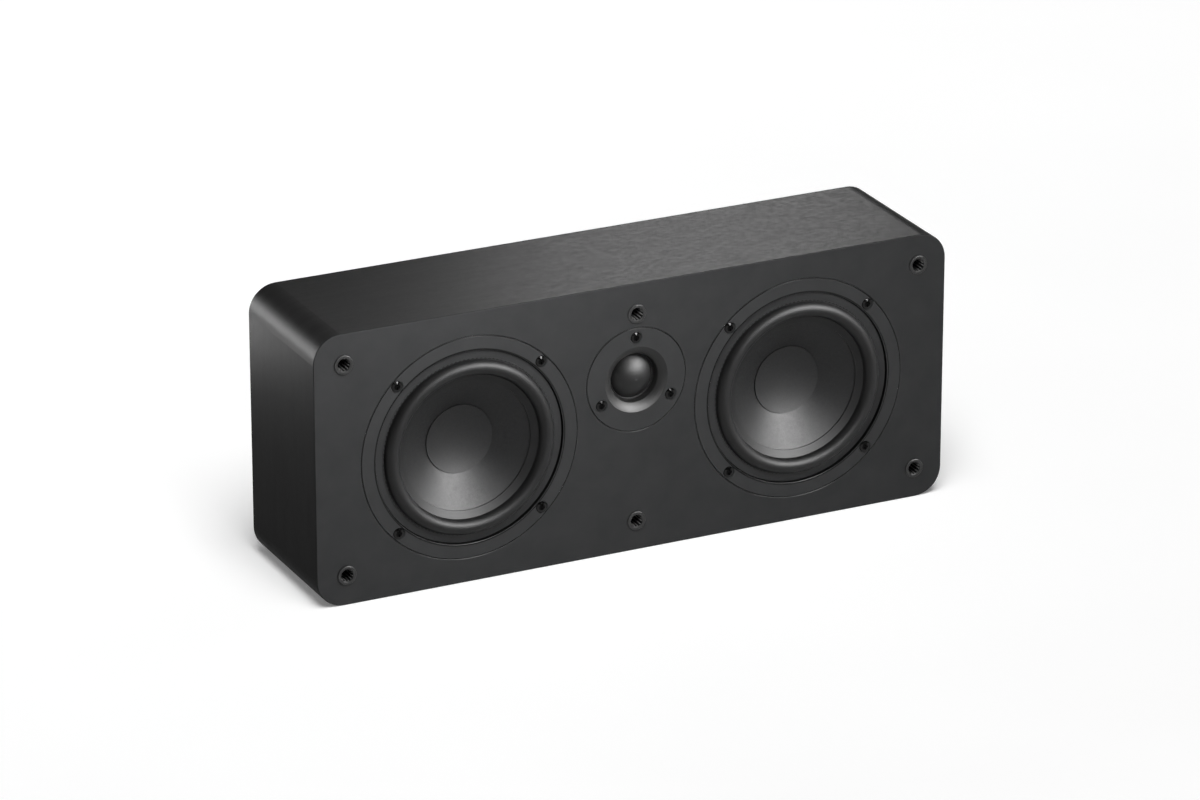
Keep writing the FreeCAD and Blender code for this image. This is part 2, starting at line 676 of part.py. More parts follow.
def make_surround():
    """A half-roll of rubber with a flat outer lip and an inner lip that lies on the cone."""
    middle = (ROLL_OUTER + ROLL_INNER) / 2
    roll = (ROLL_OUTER - ROLL_INNER) / 2
    under_roll = roll - ROLL_THICKNESS
    lip_edge = BASKET_STEP - LIP_GROOVE
    lip_face = LIP_RECESS + ROLL_FOOT_RISE
    foot = ROLL_OUTER + ROLL_FOOT_WIDTH
    lip_depth = INNER_LIP_THICKNESS * CONE_UPRIGHT
    lip_end = LIP_RECESS + INNER_LIP_WIDTH * CONE_SLOPE
    under_edge = middle - under_roll
    under_depth = LIP_RECESS + lip_depth - ROLL_THICKNESS * CONE_SLOPE
    return turned([
        (lip_edge, LIP_SEAT),
        (lip_edge, lip_face),
        (foot, lip_face),
        (foot, LIP_RECESS),
        (ROLL_OUTER, LIP_RECESS),
        (middle, LIP_RECESS - roll, ROLL_INNER, LIP_RECESS),
        (INNER_LIP, lip_end),
        (INNER_LIP, lip_end + lip_depth),
        (under_edge, under_depth),
        (under_edge, LIP_RECESS),
        (middle, LIP_RECESS - under_roll, middle + under_roll, LIP_RECESS),
        (middle + under_roll, LIP_SEAT),
    ])


def make_cone():
    edge = ROLL_INNER + CONE_EDGE_MARGIN
    neck = FORMER_RADIUS + GLUE_LINE
    back = CONE_THICKNESS * CONE_UPRIGHT
    return turned([
        (edge, cone_face(edge) + back),
        (edge, cone_face(edge)),
        (neck, cone_face(neck)),
        (neck, cone_face(neck) + back),
    ])


def make_dust_cap():
    """A shallow dish glued on the cone by its rim, between two balls of the same radius."""
    rim = DUST_CAP_DIAMETER / 2
    back = FRONT + cone_face(rim) - GLUE_LINE
    front = back - DUST_CAP_THICKNESS
    ball = (rim * rim + DUST_CAP_SAG * DUST_CAP_SAG) / (2 * DUST_CAP_SAG)
    middle = Vector(0, front + DUST_CAP_SAG - ball, 0)
    hollow = Part.makeSphere(ball, middle, X_AXIS)
    outside = Part.makeSphere(ball, middle + Y_AXIS * DUST_CAP_THICKNESS, X_AXIS)
    return disc(rim, front - DUST_CAP_SAG, back + DUST_CAP_SAG).common(outside).cut(hollow)


def make_voice_coil():
    """The winding on its paper former, made as one."""
    bore = COIL_BORE / 2
    front = cone_face(FORMER_RADIUS)
    winding_front = WINDING_MIDDLE - WINDING_HEIGHT / 2
    winding_back = WINDING_MIDDLE + WINDING_HEIGHT / 2
    return turned([
        (bore, winding_back),
        (bore, front),
        (FORMER_RADIUS, front),
        (FORMER_RADIUS, winding_front),
        (WINDING_RADIUS, winding_front),
        (WINDING_RADIUS, winding_back),
    ])


def make_spider():
    """A corrugated disc that centres the coil."""
    inner = FORMER_RADIUS + SOFT_GLUE_LINE
    outer = SPIDER_SEAT - GLUE_LINE
    first = inner + SPIDER_FLAT
    last = SPIDER_SEAT - SPIDER_SEAT_WIDTH - SPIDER_FLAT
    front = SPIDER_SEAT_DEPTH - SPIDER_THICKNESS
    waves = []
    for step in range(1, 2 * SPIDER_WAVE_COUNT, 2):
        radius = first + (last - first) * step / (2 * SPIDER_WAVE_COUNT)
        sign = 1 if step % 4 == 1 else -1
        waves.append((radius, front - sign * SPIDER_WAVE_HEIGHT))
    face = [(inner, front), (first, front)] + waves + [(last, front), (outer, front)]
    back = [(radius, depth + SPIDER_THICKNESS) for radius, depth in reversed(face)]
    return turned(face + back)


def make_top_plate():
    return ring(WINDING_RADIUS + COIL_CLEARANCE, TOP_PLATE_DIAMETER / 2, BASKET_DEPTH, PLATE_BACK)


def make_magnet():
    return ring(MAGNET_BORE / 2, MAGNET_DIAMETER / 2, PLATE_BACK, MAGNET_BACK)


def make_yoke():
    """The back plate and its pole, one piece of steel with a vent through it."""
    pole = COIL_BORE / 2 - COIL_CLEARANCE
    vent = POLE_VENT_DIAMETER / 2
    return turned([
        (vent, BASKET_DEPTH),
        (pole, BASKET_DEPTH),
        (pole, MAGNET_BACK),
        (YOKE_DIAMETER / 2, MAGNET_BACK),
        (YOKE_DIAMETER / 2, YOKE_BACK),
        (vent, YOKE_BACK),
    ])


def make_terminal_strip():
    """An insulating strip with two solder tags moulded in."""
    front = FRONT + BASKET_DEPTH - STRIP_LENGTH
    corner = Vector(STRIP_FACE, front, -STRIP_WIDTH / 2)
    strip = Part.makeBox(STRIP_THICKNESS, STRIP_LENGTH, STRIP_WIDTH, corner)
    for z in (-TAG_SPACING / 2, TAG_SPACING / 2):
        corner = Vector(STRIP_FACE, FRONT + TAG_DEPTH - TAG_WIDTH / 2, z - TAG_THICKNESS / 2)
        strip = strip.fuse(Part.makeBox(STRIP_THICKNESS + TAG_LENGTH, TAG_WIDTH, TAG_THICKNESS, corner))
    return strip.removeSplitter()


def make_tinsel_leads():
    """Two braids from the terminal strip to the back of the cone."""
    start = at(STRIP_FACE + STRIP_THICKNESS / 2, BASKET_DEPTH - STRIP_LENGTH)
    away = Vector(CONE_SLOPE, 1, 0).normalize()
    back = cone_face(TINSEL_RADIUS_ON_CONE) + CONE_THICKNESS * CONE_UPRIGHT
    end = at(TINSEL_RADIUS_ON_CONE, back) + away * SOFT_GLUE_LINE
    points = [start, start - Y_AXIS * TINSEL_RISE, end + away * TINSEL_STAND, end]
    leads = []
    for z in (-TAG_SPACING / 2, TAG_SPACING / 2):
        leads.append(moved(tube(points, TINSEL_BEND, TINSEL_DIAMETER), 0, z))
    return Part.makeCompound(leads)


# Tweeter: every piece is made on the Y axis
def mouth_curve(angle):
    """Radius and depth on the mouth's curve where it has the given slope, in degrees."""
    edge = math.radians(MOUTH_EDGE_ANGLE)
    turn = math.radians(angle)
    radius = MOUTH - MOUTH_CURVE * (math.sin(turn) - math.sin(edge))
    depth = MOUTH_CURVE * (math.cos(edge) - math.cos(turn))
    return radius, depth


def throat_depth():
    """Depth at which the mouth's slope reaches the throat."""
    radius, depth = mouth_curve(MOUTH_ANGLE)
    return depth + (radius - THROAT) * math.tan(math.radians(THROAT_ANGLE))


def make_faceplate():
    """The flange, with a smooth bowl that opens from the dome, and the body behind it."""
    throat_front = throat_depth()
    throat_back = throat_front + THROAT_LAND
    pocket = DOME_RING + GLUE_LINE
    plate = turned([
        (THROAT, throat_back),
        (THROAT, throat_front),
        mouth_curve(MOUTH_ANGLE),
        (*mouth_curve((MOUTH_EDGE_ANGLE + MOUTH_ANGLE) / 2), MOUTH, 0),
        (TWEETER_FLANGE - EDGE_BREAK, 0),
        (TWEETER_FLANGE, EDGE_BREAK),
        (TWEETER_FLANGE, FLANGE_THICKNESS),
        (TWEETER_BODY, FLANGE_THICKNESS),
        (TWEETER_BODY, TWEETER_BODY_DEPTH),
        (pocket, TWEETER_BODY_DEPTH),
        (pocket, throat_back),
    ])
    for x, z in tweeter_screw_places():
        plate = plate.cut(moved(screw_seat(), x, z))
    return plate


def make_diaphragm():
    """Dome, half-roll and mounting ring, pressed and moulded as one."""
    seat = throat_depth() + THROAT_LAND
    under = seat + DOME_THICKNESS
    roll_end = THROAT - DOME_ROLL_CLEARANCE
    roll_middle = (DOME + roll_end) / 2
    roll_crest = seat - DOME_ROLL_HEIGHT
    inner_dome = DOME - DOME_THICKNESS
    inner_ring = roll_end + DOME_THICKNESS
    half_way = cap_rise(DOME, DOME_HEIGHT, DOME / 2)
    inner_half_way = cap_rise(inner_dome, DOME_HEIGHT, inner_dome / 2)
    return turned([
        (0, seat - DOME_HEIGHT),
        (DOME / 2, seat - half_way, DOME, seat),
        (roll_middle, roll_crest, roll_end, seat),
        (DOME_RING, seat),
        (DOME_RING, TWEETER_BODY_DEPTH),
        (inner_ring, TWEETER_BODY_DEPTH),
        (inner_ring, under),
        (roll_end, under),
        (roll_middle, roll_crest + DOME_THICKNESS, DOME, under),
        (inner_dome, under),
        (inner_dome / 2, under - inner_half_way, 0, under - DOME_HEIGHT),
    ])


def tweeter_winding():
    """Outer radius of the tweeter's winding."""
    return DOME - DOME_THICKNESS + TWEETER_WINDING_THICKNESS


def make_tweeter_coil():
    """The winding on its former, made as one."""
    outer = DOME - DOME_THICKNESS
    bore = outer - TWEETER_FORMER_THICKNESS
    front = throat_depth() + THROAT_LAND + DOME_THICKNESS + GLUE_LINE
    back = front + TWEETER_FORMER_LENGTH
    winding_front = back - TWEETER_WINDING_HEIGHT
    return turned([
        (bore, back),
        (bore, front),
        (outer, front),
        (outer, winding_front),
        (tweeter_winding(), winding_front),
        (tweeter_winding(), back),
    ])


def make_pole_plate():
    pole = DOME - DOME_THICKNESS - TWEETER_FORMER_THICKNESS - TWEETER_COIL_CLEARANCE
    back = FRONT + TWEETER_BODY_DEPTH + POLE_PLATE_THICKNESS
    return disc(pole, FRONT + TWEETER_BODY_DEPTH, back)


def make_tweeter_magnet():
    front = FRONT + TWEETER_BODY_DEPTH + POLE_PLATE_THICKNESS
    return disc(TWEETER_MAGNET_DIAMETER / 2, front, front + TWEETER_MAGNET_HEIGHT)


def make_pot():
    """A steel pot round the magnet, with a narrower mouth for the gap."""
    mouth = tweeter_winding() + TWEETER_COIL_CLEARANCE
    pocket = mouth + POT_POCKET_MARGIN
    mouth_back = TWEETER_BODY_DEPTH + POLE_PLATE_THICKNESS
    floor = mouth_back + TWEETER_MAGNET_HEIGHT
    outer = POT_DIAMETER / 2
    return turned([
        (0, floor),
        (pocket, floor),
        (pocket, mouth_back),
        (mouth, mouth_back),
        (mouth, TWEETER_BODY_DEPTH),
        (outer, TWEETER_BODY_DEPTH),
        (outer, POT_BACK),
        (0, POT_BACK),
    ])


def make_tweeter_terminals():
    """A small board on the pot's back, with two solder tags."""
    corner = Vector(-TERMINAL_BOARD_WIDTH / 2, FRONT + POT_BACK, -TERMINAL_BOARD_HEIGHT / 2)
    board = Part.makeBox(TERMINAL_BOARD_WIDTH, STRIP_THICKNESS, TERMINAL_BOARD_HEIGHT, corner)
    for x in (-TAG_SPACING / 2, TAG_SPACING / 2):
        corner = Vector(x - TAG_WIDTH / 2, FRONT + POT_BACK, -TAG_THICKNESS / 2)
        board = board.fuse(Part.makeBox(TAG_WIDTH, STRIP_THICKNESS + TAG_LENGTH, TAG_THICKNESS, corner))
    return board.removeSplitter()


# Terminal cup, posts, hangers and bumpers
def make_terminal_cup():
    """A moulded cup let into the back, with a flange flush with it."""
    cup = cup_flange()
    body = rounded_block(CUP_WIDTH, CUP_HEIGHT, CUP_CORNER, CUP_FRONT, REAR, 0, CUP_MIDDLE_HEIGHT)
    cup = cup.fuse(body).removeSplitter()
    width = CUP_WIDTH - 2 * CUP_WALL
    height = CUP_HEIGHT - 2 * CUP_WALL
    corner = max(CUP_CORNER - CUP_WALL, SMALLEST_CORNER)
    cup = cup.cut(rounded_block(width, height, corner, CUP_FLOOR, REAR, 0, CUP_MIDDLE_HEIGHT))
    for x in (-POST_SPACING / 2, POST_SPACING / 2):
        cup = cup.cut(disc(POST_DIAMETER / 2 + SCREW_FIT, CUP_FRONT, CUP_FLOOR, x, CUP_MIDDLE_HEIGHT))
    for x, z in cup_screw_places():
        cup = cup.cut(moved(flat_screw(SCREW_FIT), x, z))
    return cup


def make_post_stud():
    """A turned stud with a collar, a bore for a plug and a cross hole for bare wire."""
    stud = disc(POST_DIAMETER / 2, POST_TIP, POST_END)
    stud = stud.fuse(disc(POST_COLLAR_DIAMETER / 2, CUP_FLOOR, CUP_FLOOR + POST_COLLAR_HEIGHT))
    stud = stud.removeSplitter()
    stud = stud.cut(disc(POST_BORE / 2, POST_END - POST_BORE_DEPTH, POST_END))
    cross_y = CUP_FLOOR + POST_COLLAR_HEIGHT + POST_CROSS_HOLE
    base = Vector(0, cross_y, -POST_DIAMETER / 2)
    return stud.cut(Part.makeCylinder(POST_CROSS_HOLE / 2, POST_DIAMETER, base, Z_AXIS))


def make_post_cap():
    """A fluted cap that screws along the stud, open at its end for the plug."""
    front = CUP_FLOOR + POST_COLLAR_HEIGHT + CAP_GAP
    cap = disc(CAP_DIAMETER / 2, front, POST_END)
    for x, z in around(CAP_DIAMETER, CAP_FLUTE_COUNT, 0.0):
        cap = cap.cut(disc(CAP_FLUTE_DIAMETER / 2, front + CAP_FLUTE_DIAMETER, POST_END, x, z))
    return cap.cut(disc(POST_DIAMETER / 2 + CAP_GAP, front, POST_END))


def make_nut():
    front = CUP_FRONT - NUT_HEIGHT
    across_corners = NUT_ACROSS_FLATS / math.cos(math.pi / NUT_SIDES)
    corners = [Vector(x, front, z) for x, z in around(across_corners, NUT_SIDES, 0.0)]
    hexagon = Part.Face(Part.makePolygon(corners + corners[:1]))
    nut = hexagon.extrude(Vector(0, NUT_HEIGHT, 0))
    return nut.cut(disc(POST_DIAMETER / 2 + SCREW_FIT, front, CUP_FRONT))


def make_hanger(x):
    plate = hanger_blank(x).cut(keyhole(x, REAR - HANGER_THICKNESS, REAR))
    for screw_x, z in hanger_screw_places():
        plate = plate.cut(moved(flat_screw(SCREW_FIT), screw_x, z))
    return plate


def make_bumpers():
    across = CABINET_WIDTH / 2 - BUMPER_SIDE_INSET
    radius = BUMPER_DIAMETER / 2
    bumpers = []
    for x in (-across, across):
        for z in (BUMPER_END_INSET, CABINET_HEIGHT - BUMPER_END_INSET):
            foot = disc(radius, REAR, REAR + BUMPER_HEIGHT - BUMPER_EDGE, x, z)
            top = taper(
                radius, radius - BUMPER_EDGE, REAR + BUMPER_HEIGHT - BUMPER_EDGE, REAR + BUMPER_HEIGHT, x, z)
            bumpers.append(foot.fuse(top).removeSplitter())
    return Part.makeCompound(bumpers)


# Crossover
def make_board():
    board = rounded_block(
        BOARD_WIDTH, BOARD_HEIGHT, SMALLEST_CORNER, BOARD_FRONT, BOARD_BACK, 0, BOARD_MIDDLE)
    for x, z in standoff_places():
        board = board.cut(disc(STANDOFF_PIN_DIAMETER / 2 + SCREW_FIT, BOARD_FRONT, BOARD_BACK, x, z))
    return board


def make_standoffs():
    """Moulded pillars with a pin into the panel and a pin through the board."""
    pin_front = BOARD_FRONT - STANDOFF_TIP
    pin_back = PANEL_FRONT + STANDOFF_PIN_LENGTH
    pillar = disc(STANDOFF_DIAMETER / 2, BOARD_BACK, PANEL_FRONT)
    pillar = pillar.fuse(disc(STANDOFF_PIN_DIAMETER / 2, pin_front, pin_back)).removeSplitter()
    return Part.makeCompound([moved(pillar, x, z) for x, z in standoff_places()])


def make_inductor():
    """An air-cored coil lying flat on the board."""
    bore = INDUCTOR_BORE / 2
    outer = INDUCTOR_DIAMETER / 2
    back = BOARD_FRONT - FRONT
    front = back - INDUCTOR_HEIGHT
    coil = turned([
        (bore, front),
        (outer - INDUCTOR_EDGE, front),
        (outer, front + INDUCTOR_EDGE),
        (outer, back - INDUCTOR_EDGE),
        (outer - INDUCTOR_EDGE, back),
        (bore, back),
    ])
    return moved(coil, INDUCTOR_X, INDUCTOR_Z)


def make_capacitor():
    base = Vector(CAPACITOR_X - CAPACITOR_LENGTH / 2, BOARD_FRONT - CAPACITOR_DIAMETER / 2, CAPACITOR_Z)
    return Part.makeCylinder(CAPACITOR_DIAMETER / 2, CAPACITOR_LENGTH, base, X_AXIS)


def make_resistor():
    left = RESISTOR_X - RESISTOR_LENGTH / 2
    corner = Vector(left, BOARD_FRONT - RESISTOR_SIDE, RESISTOR_Z - RESISTOR_SIDE / 2)
    return Part.makeBox(RESISTOR_LENGTH, RESISTOR_SIDE, RESISTOR_SIDE, corner)


# Inner leads and wadding
def make_wiring():
    """Pairs of leads from the posts to the board, and from the board to each driver."""
    leads = []
    half = TAG_SPACING / 2
    board_side = BOARD_WIDTH / 2 - WOOFER_LEAD_INSET
    tag_y = FRONT + TAG_DEPTH
    for side in (-1, 1):
        tag_x = side * (WOOFER_X - TAG_END)
        for z in (MID_HEIGHT - half, MID_HEIGHT + half):
            route = [
                Vector(tag_x, tag_y, z),
                Vector(side * board_side, tag_y, z),
                Vector(side * board_side, BOARD_FRONT, z),
            ]
            leads.append(tube(route, LEAD_BEND, LEAD_DIAMETER))
    tweeter_tag = FRONT + TERMINAL_BACK + TAG_LENGTH
    drop = TWEETER_Z - TWEETER_LEAD_DROP
    for x in (-half, half):
        route = [
            Vector(x, tweeter_tag, TWEETER_Z),
            Vector(x, tweeter_tag + TWEETER_LEAD_RUN, TWEETER_Z),
            Vector(x, BOARD_FRONT - TWEETER_LEAD_RUN, drop),
            Vector(x, BOARD_FRONT, drop),
        ]
        leads.append(tube(route, LEAD_BEND, LEAD_DIAMETER))
    landing = BOARD_BOTTOM + INPUT_LEAD_INSET
    turn_y = POST_TIP - INPUT_LEAD_RUN
    for x in (-POST_SPACING / 2, POST_SPACING / 2):
        route = [
            Vector(x, POST_TIP, CUP_MIDDLE_HEIGHT),
            Vector(x, turn_y, CUP_MIDDLE_HEIGHT),
            Vector(x, turn_y, landing),
            Vector(x, BOARD_FRONT, landing),
        ]
        leads.append(tube(route, LEAD_BEND, LEAD_DIAMETER))
    return Part.makeCompound(leads)


def make_wadding():
    """Soft pads on the rear panel behind the woofers."""
    front = PANEL_FRONT - WADDING_THICKNESS
    return Part.makeCompound([
        rounded_block(
            WADDING_WIDTH, WADDING_HEIGHT, WADDING_CORNER, front, PANEL_FRONT, side * WOOFER_X, MID_HEIGHT)
        for side in (-1, 1)
    ])


def save_cabinet():
    save("cabinet_sleeve", make_sleeve())
    save("front_baffle", make_baffle())
    save("rear_panel", make_rear_panel())
    socket = make_socket()
    for name, x, z in socket_places():
        save("grille_socket_" + name, moved(socket, x, z))
    screw = driver_screw()
    save("driver_screws", Part.makeCompound([moved(screw, x, z) for x, z in driver_screw_places()]))
    save("damping_wadding", make_wadding())


def save_woofers():
    pieces = {
        "basket": make_basket(),
        "gasket": make_gasket(WOOFER_HOLE, WOOFER_FLANGE, woofer_screw_places()),
        "surround": make_surround(),
        "cone": make_cone(),
        "dust_cap": make_dust_cap(),
        "voice_coil": make_voice_coil(),
        "spider": make_spider(),
        "top_plate": make_top_plate(),
        "magnet": make_magnet(),
        "yoke": make_yoke(),
        "terminal_strip": make_terminal_strip(),
        "tinsel_leads": make_tinsel_leads(),
    }
    for name, piece in pieces.items():
        save("woofer_left_" + name, moved(piece, -WOOFER_X, MID_HEIGHT))
        save("woofer_right_" + name, moved(piece, WOOFER_X, MID_HEIGHT, half_turn=True))


def save_tweeter():
    pieces = {
        "faceplate": make_faceplate(),
        "gasket": make_gasket(TWEETER_HOLE, TWEETER_FLANGE, tweeter_screw_places()),
        "diaphragm": make_diaphragm(),
        "voice_coil": make_tweeter_coil(),
        "pole_plate": make_pole_plate(),
        "magnet": make_tweeter_magnet(),
        "pot": make_pot(),
        "terminal_board": make_tweeter_terminals(),
    }
    for name, piece in pieces.items():
        save("tweeter_" + name, moved(piece, TWEETER_X, TWEETER_Z))


def save_back():
    save("terminal_cup", make_terminal_cup())
    cup_screws = [moved(flat_screw(), x, z) for x, z in cup_screw_places()]
    save("terminal_cup_screws", Part.makeCompound(cup_screws))
    nuts = []
    for colour, x in (("red", POST_SPACING / 2), ("black", -POST_SPACING / 2)):
        save("post_stud_" + colour, moved(make_post_stud(), x, CUP_MIDDLE_HEIGHT))
        save("post_cap_" + colour, moved(make_post_cap(), x, CUP_MIDDLE_HEIGHT))
        nuts.append(moved(make_nut(), x, CUP_MIDDLE_HEIGHT))
    save("post_nuts", Part.makeCompound(nuts))
    for x, side in hanger_places():
        save("wall_hanger_" + side, make_hanger(x))
    hanger_screws = [moved(flat_screw(), x, z) for x, z in hanger_screw_places()]
    save("wall_hanger_screws", Part.makeCompound(hanger_screws))
    save("wall_bumpers", make_bumpers())


def save_crossover():
    save("crossover_board", make_board())
    save("crossover_standoffs", make_standoffs())
    save("woofer_inductor", make_inductor())
    save("tweeter_capacitor", make_capacitor())
    save("tweeter_resistor", make_resistor())
    save("internal_wiring", make_wiring())


os.makedirs("parts", exist_ok=True)
save_cabinet()
save_woofers()
save_tweeter()
save_back()
save_crossover()
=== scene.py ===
import json
import math

import bpy
import numpy as np
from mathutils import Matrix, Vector

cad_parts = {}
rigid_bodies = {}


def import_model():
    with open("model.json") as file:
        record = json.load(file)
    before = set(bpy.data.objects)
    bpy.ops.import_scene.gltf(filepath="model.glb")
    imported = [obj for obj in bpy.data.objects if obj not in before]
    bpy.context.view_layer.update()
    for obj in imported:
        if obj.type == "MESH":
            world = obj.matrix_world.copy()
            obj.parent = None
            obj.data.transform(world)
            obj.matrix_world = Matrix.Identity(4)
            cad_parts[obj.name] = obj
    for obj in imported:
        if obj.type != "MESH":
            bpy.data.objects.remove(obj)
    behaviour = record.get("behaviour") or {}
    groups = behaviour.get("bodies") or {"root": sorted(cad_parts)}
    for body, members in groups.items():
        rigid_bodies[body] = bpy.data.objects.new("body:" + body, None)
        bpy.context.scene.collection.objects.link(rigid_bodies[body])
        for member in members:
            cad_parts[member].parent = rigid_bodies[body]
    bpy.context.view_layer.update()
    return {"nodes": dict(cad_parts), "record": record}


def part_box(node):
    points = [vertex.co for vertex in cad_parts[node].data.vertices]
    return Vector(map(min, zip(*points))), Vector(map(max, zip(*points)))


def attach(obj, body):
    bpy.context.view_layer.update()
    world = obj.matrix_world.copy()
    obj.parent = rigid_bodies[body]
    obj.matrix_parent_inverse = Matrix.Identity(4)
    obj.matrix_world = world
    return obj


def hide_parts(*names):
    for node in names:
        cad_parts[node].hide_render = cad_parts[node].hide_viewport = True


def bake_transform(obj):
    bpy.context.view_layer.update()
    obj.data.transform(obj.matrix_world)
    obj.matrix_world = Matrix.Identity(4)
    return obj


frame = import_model()
nodes = frame["nodes"]
MM = 0.001

# Sizes repeated from the part's source, in metres
FRONT_Y = -47 * MM
WOOFERS = {"left": (-107.2 * MM, 84 * MM), "right": (107.2 * MM, 84 * MM)}
TWEETER = (0.0, 108 * MM)
SOCKETS = [
    (row + "_" + column, x, z)
    for row, z in (("upper", 149.25 * MM), ("lower", 18.75 * MM))
    for column, x in (("left", -186.4 * MM), ("middle", 0.0), ("right", 186.4 * MM))
]
LIP_START = 54.6 * MM
BOWL_EDGE = 20.4 * MM
STEP_EDGE = (60.0 * MM, 60.3 * MM)
# radii of a black ring of painted shade on the flange face, for the gap by the step
STEP_SHADE_LINE = (60.9 * MM, 61.1 * MM)
FLANGE_EDGE = (68.45 * MM, 68.8 * MM)
FLANGE_SEAT = (68.8 * MM, 69.8 * MM)
TWEETER_EDGE = (31.8 * MM, 32.15 * MM)
TWEETER_SEAT = (32.15 * MM, 33.1 * MM)


# Material helpers
class Nodes:
    """A material's node tree, with short calls for the nodes used here."""

    def __init__(self, name):
        self.material = bpy.data.materials.new(name)
        self.material.use_nodes = True
        self.tree = self.material.node_tree
        self.shader = self.tree.nodes["Principled BSDF"]
        self.output = self.tree.nodes["Material Output"]
        self.coordinates = self.add("ShaderNodeTexCoord")

    def add(self, kind, **settings):
        node = self.tree.nodes.new(kind)
        for key, value in settings.items():
            setattr(node, key, value)
        return node

    def link(self, source, target):
        self.tree.links.new(source, target)

    def stretched(self, scale):
        mapping = self.add("ShaderNodeMapping")
        mapping.inputs["Scale"].default_value = scale
        self.link(self.coordinates.outputs["Object"], mapping.inputs["Vector"])
        return mapping.outputs["Vector"]

    def noise(self, scale, detail=2.0, rough=0.55, distortion=0.0):
        """Noise with the given number of features per metre along X, Y and Z."""
        texture = self.add("ShaderNodeTexNoise")
        texture.inputs["Scale"].default_value = 1.0
        texture.inputs["Detail"].default_value = detail
        texture.inputs["Roughness"].default_value = rough
        texture.inputs["Distortion"].default_value = distortion
        self.link(self.stretched(scale), texture.inputs["Vector"])
        return texture.outputs["Fac"]

    def ramp(self, factor, dark, light, low=0.3, high=0.7):
        """Two colours blended by a factor."""
        ramp = self.add("ShaderNodeValToRGB")
        first, last = ramp.color_ramp.elements
        first.position, first.color = low, (*dark, 1)
        last.position, last.color = high, (*light, 1)
        self.link(factor, ramp.inputs["Fac"])
        return ramp.outputs["Color"]

    def span(self, factor, low, high, start=0.3, end=0.7):
        """A factor stretched to a range of values."""
        span = self.add("ShaderNodeMapRange")
        for socket, value in zip(span.inputs[1:5], (start, end, low, high)):
            socket.default_value = value
        self.link(factor, span.inputs["Value"])
        return span.outputs["Result"]

    def bump(self, height, depth, strength=1.0, target=None):
        """Relief of the given depth, in metres."""
        bump = self.add("ShaderNodeBump")
        bump.inputs["Strength"].default_value = strength
        bump.inputs["Distance"].default_value = depth
        self.link(height, bump.inputs["Height"])
        self.link(bump.outputs["Normal"], (target or self.shader).inputs["Normal"])

    def split(self, vector):
        """A vector's X, Y and Z."""
        node = self.add("ShaderNodeSeparateXYZ")
        self.link(vector, node.inputs["Vector"])
        return node.outputs

    def math(self, operation, *values):
        node = self.add("ShaderNodeMath", operation=operation)
        for socket, value in zip(node.inputs, values):
            if isinstance(value, bpy.types.NodeSocket):
                self.link(value, socket)
            else:
                socket.default_value = value
        return node.outputs["Value"]


def set_shader(shader, metallic=0.0, level=0.5, coat=0.0, coat_rough=0.2, sheen=0.0):
    shader.inputs["Metallic"].default_value = metallic
    shader.inputs["Specular IOR Level"].default_value = level
    shader.inputs["Coat Weight"].default_value = coat
    shader.inputs["Coat Roughness"].default_value = coat_rough
    shader.inputs["Sheen Weight"].default_value = sheen


def surface(tree, shader, dark, light, rough, patch, grain, depth):
    """Colour and roughness that wander in patches, and a fine relief."""
    wander = tree.noise(patch, detail=4.0)
    fine = tree.noise(grain, detail=3.0)
    tree.link(tree.ramp(wander, dark, light), shader.inputs["Base Color"])
    tree.link(tree.span(fine, *rough), shader.inputs["Roughness"])
    tree.bump(fine, depth, target=shader)


def plain(name, dark, light, rough, patch=40.0, grain=2500.0, depth=0.02 * MM, **settings):
    """A moulded, painted or metal surface with patches and a fine relief of even size."""
    tree = Nodes(name)
    surface(tree, tree.shader, dark, light, rough, (patch,) * 3, (grain,) * 3, depth)
    set_shader(tree.shader, **settings)
    return tree.material


def brushed(name, dark, light, rough, stretch, depth=0.01 * MM, **settings):
    """A surface with streaks: stretch gives the features per metre along X, Y and Z."""
    tree = Nodes(name)
    surface(tree, tree.shader, dark, light, rough, stretch, stretch, depth)
    set_shader(tree.shader, **settings)
    return tree.material


# Looks of the cabinet
FOIL_PATCH = (22.0, 190.0, 22.0)
FOIL_GRAIN = (160.0, 2600.0, 160.0)
FOIL_CLOUD = (260.0, 420.0, 260.0)
GREY = (0.0338, 0.0342, 0.0348), (0.0392, 0.0396, 0.0404)
PAINT_PATCH = (70.0, 70.0, 70.0)
PAINT_GRAIN = (2600.0, 2600.0, 2600.0)


def foil(tree, shader):
    """Black foil with a faint grain along the wrap, which runs round the box."""
    patch = tree.noise(FOIL_PATCH, detail=4.0)
    cloud = tree.noise(FOIL_CLOUD, detail=4.0)
    grain = tree.noise(FOIL_GRAIN, detail=3.0)
    tree.link(tree.ramp(patch, (0.0088,) * 3, (0.0110,) * 3), shader.inputs["Base Color"])
    tree.link(tree.span(cloud, 0.31, 0.42), shader.inputs["Roughness"])
    tree.bump(grain, 0.010 * MM, target=shader)
    set_shader(shader, level=0.004)


def paint(tree, shader):
    """Dark grey satin paint with a very fine texture."""
    surface(tree, shader, *GREY, (0.52, 0.60), PAINT_PATCH, PAINT_GRAIN, 0.015 * MM)
    set_shader(shader, level=0.03)


def make_foil():
    tree = Nodes("foil_black")
    foil(tree, tree.shader)
    return tree.material


def make_baffle_finish():
    """Paint on the face, and the cabinet's foil on the edges, so that no seam shows."""
    tree = Nodes("baffle_grey")
    paint(tree, tree.shader)
    edge = tree.add("ShaderNodeBsdfPrincipled")
    foil(tree, edge)
    normal = tree.split(tree.add("ShaderNodeNewGeometry").outputs["Normal"])
    facing = tree.span(normal["Y"], 0.0, 1.0, start=-0.8, end=-0.6)
    mix = tree.add("ShaderNodeMixShader")
    tree.link(facing, mix.inputs["Fac"])
    tree.link(tree.shader.outputs["BSDF"], mix.inputs[1])
    tree.link(edge.outputs["BSDF"], mix.inputs[2])
    tree.link(mix.outputs["Shader"], tree.output.inputs["Surface"])
    return tree.material


